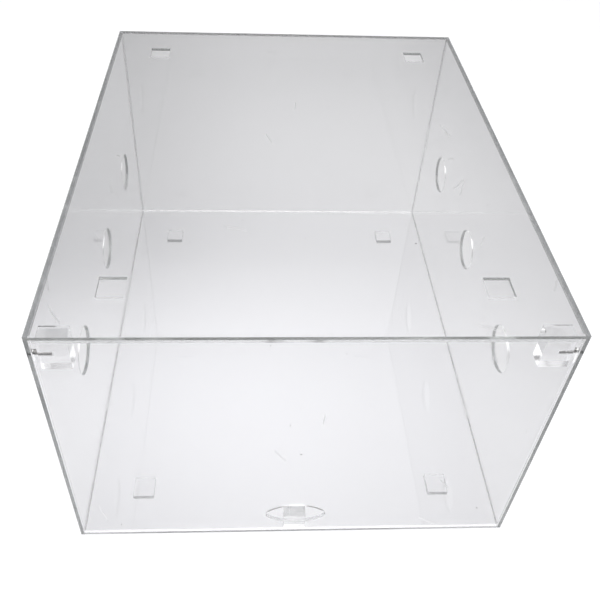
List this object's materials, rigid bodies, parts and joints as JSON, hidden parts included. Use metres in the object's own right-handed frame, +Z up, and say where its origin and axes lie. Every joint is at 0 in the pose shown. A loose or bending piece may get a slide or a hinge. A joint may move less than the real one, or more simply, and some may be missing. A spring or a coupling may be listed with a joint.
{
  "type": "stackable clear acrylic case",
  "caption": "Clear acrylic box with a top-hinged front flap, an oval finger hole, round side vents, and square feet that drop into sockets in the top for stacking.",
  "frame": {"origin": "middle of the case's plan, on the surface that its feet stand on", "axes": "+X to the right as seen from the flap, +Y from the flap to the back wall, +Z up"},
  "size_m": [0.4, 0.48, 0.285],
  "materials": {
    "clear_acrylic": "polished, clear",
    "acrylic_block": "polished, clear",
    "steel_pin": "bright"
  },
  "bodies": {
    "case": {"top_panel": "clear_acrylic", "floor_panel": "clear_acrylic", "left_wall": "clear_acrylic", "right_wall": "clear_acrylic", "back_wall": "clear_acrylic", "front_left_foot": "acrylic_block", "front_right_foot": "acrylic_block", "back_left_foot": "acrylic_block", "back_right_foot": "acrylic_block", "stop_block": "acrylic_block", "left_hinge_pin": "steel_pin", "right_hinge_pin": "steel_pin"},
    "flap": {"front_flap": "clear_acrylic", "left_hinge_block": "acrylic_block", "right_hinge_block": "acrylic_block"}
  },
  "joints": [
    {"name": "flap_hinge", "type": "hinge", "parent": "case", "child": "flap", "pos_m": [0, -0.23295, 0.2635], "axis": [-1, 0, 0], "range_deg": [0, 135]}
  ]
}
